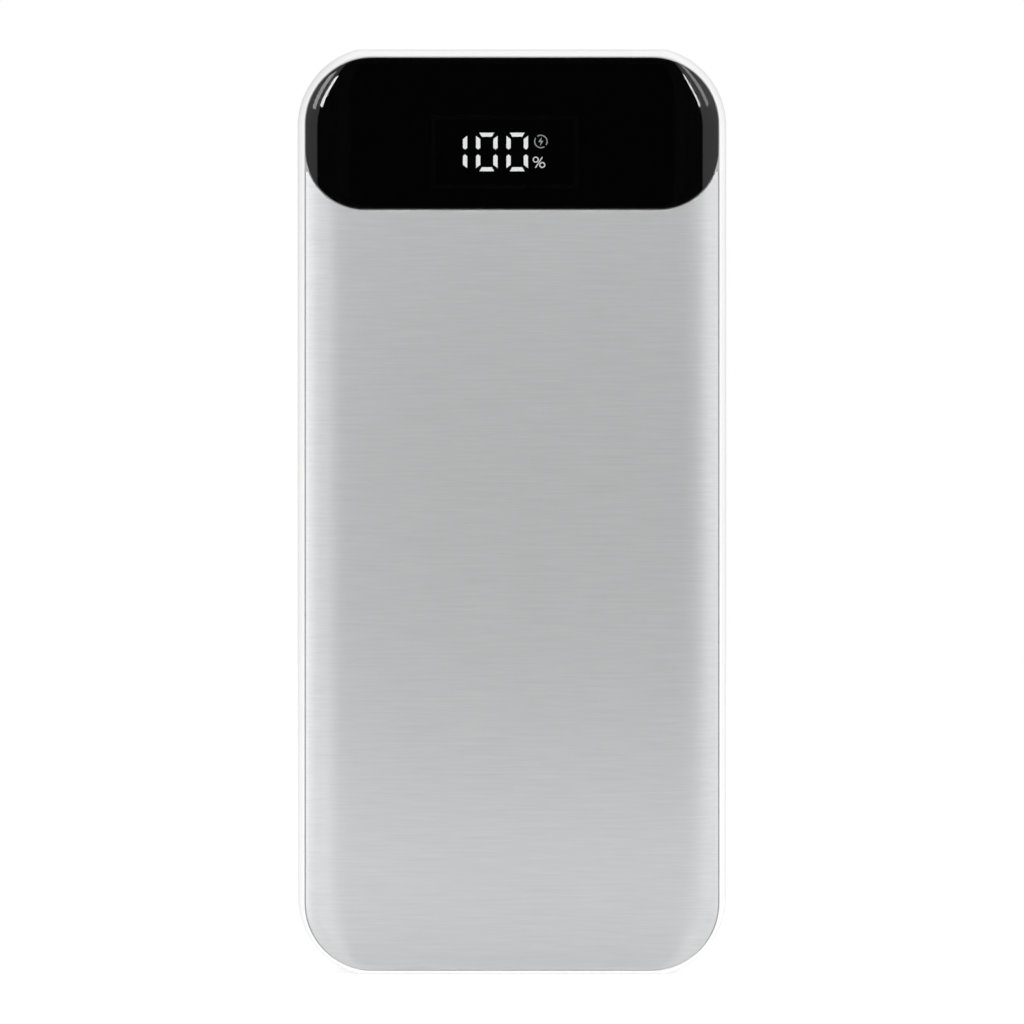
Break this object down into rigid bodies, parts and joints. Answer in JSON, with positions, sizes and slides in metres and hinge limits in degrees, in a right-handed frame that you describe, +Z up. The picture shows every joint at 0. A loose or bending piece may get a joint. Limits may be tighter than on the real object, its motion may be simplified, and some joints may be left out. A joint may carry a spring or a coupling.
{
  "type": "power bank",
  "caption": "Portable battery with a brushed metal front, smoked display window with lit digits, charging sockets in its top end and a push button on its side.",
  "frame": {"origin": "middle of the footprint of the plain bottom end, on which it stands", "axes": "+Z up along the length towards the sockets, -Y out of the metal front, +X to the right seen from the front"},
  "size_m": [0.0701, 0.028, 0.1505],
  "materials": {
    "white_case": "satin",
    "brushed_panel": "satin",
    "smoked_lens": "gloss",
    "black_tape": "matte",
    "steel_screws": "satin",
    "display_resin": "matte",
    "lit_resin": "satin",
    "unlit_resin": "satin",
    "symbol_resin": "satin",
    "dim_resin": "satin",
    "circuit_board": "satin",
    "black_foam": "matte",
    "amber_ribbon": "satin",
    "cream_plastic": "satin",
    "ferrite": "matte",
    "chip_resin": "matte",
    "capacitor_ceramic": "satin",
    "capacitor_can": "satin",
    "socket_steel": "satin",
    "white_tongue": "satin",
    "black_tongue": "satin",
    "gold_contacts": "satin",
    "white_button": "satin",
    "switch_plastic": "satin",
    "cell_foil": "satin",
    "nickel_strip": "satin",
    "sensor_resin": "gloss",
    "sensor_leads": "satin"
  },
  "bodies": {
    "case": {"back_shell": "white_case", "front_frame": "white_case", "front_panel": "brushed_panel", "display_lens": "smoked_lens", "panel_tape": "black_tape", "lens_tape": "black_tape", "cell_bond_tape": "black_tape", "shell_screws": "steel_screws", "board_screws": "steel_screws", "display_housing": "display_resin", "lit_segments": "lit_resin", "unlit_segments": "unlit_resin", "percent_symbol": "symbol_resin", "bolt_symbol": "dim_resin", "display_board": "circuit_board", "main_board": "circuit_board", "display_gasket": "black_foam", "front_foam": "black_foam", "bottom_foam": "black_foam", "display_ribbon": "amber_ribbon", "ribbon_socket": "cream_plastic", "power_inductor": "ferrite", "controller_chip": "chip_resin", "mosfets": "chip_resin", "chip_resistors": "chip_resin", "ceramic_capacitors": "capacitor_ceramic", "bulk_capacitors": "capacitor_can", "usb_a_left_shell": "socket_steel", "usb_a_right_shell": "socket_steel", "usb_c_shell": "socket_steel", "usb_a_left_tongue": "white_tongue", "usb_a_right_tongue": "white_tongue", "usb_c_tongue": "black_tongue", "usb_a_left_contacts": "gold_contacts", "usb_a_right_contacts": "gold_contacts", "usb_c_contacts": "gold_contacts", "switch_body": "switch_plastic", "front_cell": "cell_foil", "back_cell": "cell_foil", "positive_strips": "nickel_strip", "negative_strips": "nickel_strip", "thermistor": "sensor_resin", "thermistor_leads": "sensor_leads"},
    "button": {"power_button": "white_button"},
    "plunger": {"switch_plunger": "switch_plastic"}
  },
  "joints": [
    {"name": "button_press", "type": "slide", "parent": "case", "child": "button", "axis": [1, 0, 0], "range_m": [0, 0.0003], "stiffness_N_per_m": 4000, "springref_m": -0.0002},
    {"name": "plunger_press", "type": "slide", "parent": "case", "child": "plunger", "axis": [1, 0, 0], "range_m": [0, 0.0003]}
  ],
  "couplings": [
    {"joint": "plunger_press", "follows": "button_press", "ratio": 1}
  ]
}
